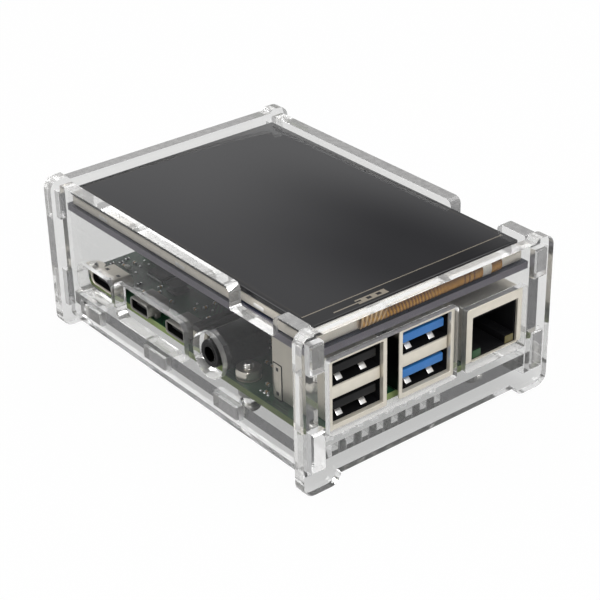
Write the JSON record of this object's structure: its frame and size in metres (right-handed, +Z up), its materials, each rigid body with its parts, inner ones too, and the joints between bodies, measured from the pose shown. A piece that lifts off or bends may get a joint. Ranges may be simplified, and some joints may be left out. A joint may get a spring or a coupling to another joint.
{
  "type": "single board computer",
  "caption": "Single board computer with stacked data ports and a network jack, a plug-on touch screen and a slot-together clear case on four feet.",
  "frame": {"origin": "middle of the footprint, on the plane the four feet stand on", "axes": "+X towards the end with the data ports and the network jack, +Y towards the side with the pin header, +Z up through the screen"},
  "size_m": [0.0922, 0.0668, 0.037],
  "materials": {
    "clear_acrylic": "clear, laser-cut, polished faces",
    "screw_steel": "bright",
    "nut_steel": "bright",
    "spacer_plastic": "satin",
    "board_green": "solder mask",
    "board_navy": "solder mask, grey sawn edge",
    "chip_black": "moulded",
    "shell_steel": "tinned sheet",
    "moulding_black": "moulded",
    "moulding_blue": "moulded",
    "moulding_ivory": "moulded",
    "card_black": "moulded",
    "glass_dark": "gloss, dark when off",
    "frame_metal": "satin",
    "ribbon_orange": "flexible film with traces"
  },
  "bodies": {
    "computer": {"port_end_panel": "clear_acrylic", "card_end_panel": "clear_acrylic", "port_side_panel": "clear_acrylic", "plain_side_panel": "clear_acrylic", "base_plate": "clear_acrylic", "board_screw_1": "screw_steel", "board_screw_2": "screw_steel", "board_screw_3": "screw_steel", "board_screw_4": "screw_steel", "board_nut_1": "nut_steel", "board_nut_2": "nut_steel", "board_nut_3": "nut_steel", "board_nut_4": "nut_steel", "board_spacer_1": "spacer_plastic", "board_spacer_2": "spacer_plastic", "board_spacer_3": "spacer_plastic", "board_spacer_4": "spacer_plastic", "main_board": "board_green", "processor_base": "board_green", "memory_chip": "chip_black", "port_controller_chip": "chip_black", "network_chip": "chip_black", "power_chip": "chip_black", "processor_cap": "shell_steel", "timing_crystal": "shell_steel", "radio_shield": "shell_steel", "power_port_shell": "shell_steel", "video_port_1_shell": "shell_steel", "video_port_2_shell": "shell_steel", "data_stack_near_shell": "shell_steel", "data_stack_far_shell": "shell_steel", "network_jack_shell": "shell_steel", "card_slot": "shell_steel", "power_inductor": "moulding_black", "pin_header": "moulding_black", "four_pin_header": "moulding_black", "power_port_tongue": "moulding_black", "video_port_1_tongue": "moulding_black", "video_port_2_tongue": "moulding_black", "audio_jack": "moulding_black", "data_stack_near_insert": "moulding_black", "network_jack_insert": "moulding_black", "data_stack_far_insert": "moulding_blue", "camera_connector": "moulding_ivory", "display_connector": "moulding_ivory", "status_light": "moulding_ivory"},
    "screen_module": {"screen_board": "board_navy", "screen_glass": "glass_dark", "screen_frame": "frame_metal", "screen_ribbon": "ribbon_orange", "screen_socket": "moulding_black", "screen_driver_chip": "chip_black", "touch_chip": "chip_black"},
    "memory_card": {"memory_card": "card_black"},
    "camera_latch": {"camera_latch": "moulding_black"},
    "display_latch": {"display_latch": "moulding_black"}
  },
  "joints": [
    {"name": "screen_lift", "type": "slide", "parent": "computer", "child": "screen_module", "axis": [0, 0, 1], "range_m": [0, 0.01]},
    {"name": "memory_card_slide", "type": "slide", "parent": "computer", "child": "memory_card", "axis": [-1, 0, 0], "range_m": [0, 0.012]},
    {"name": "camera_latch_lift", "type": "slide", "parent": "computer", "child": "camera_latch", "axis": [0, 0, 1], "range_m": [0, 0.001]},
    {"name": "display_latch_lift", "type": "slide", "parent": "computer", "child": "display_latch", "axis": [0, 0, 1], "range_m": [0, 0.001]}
  ]
}
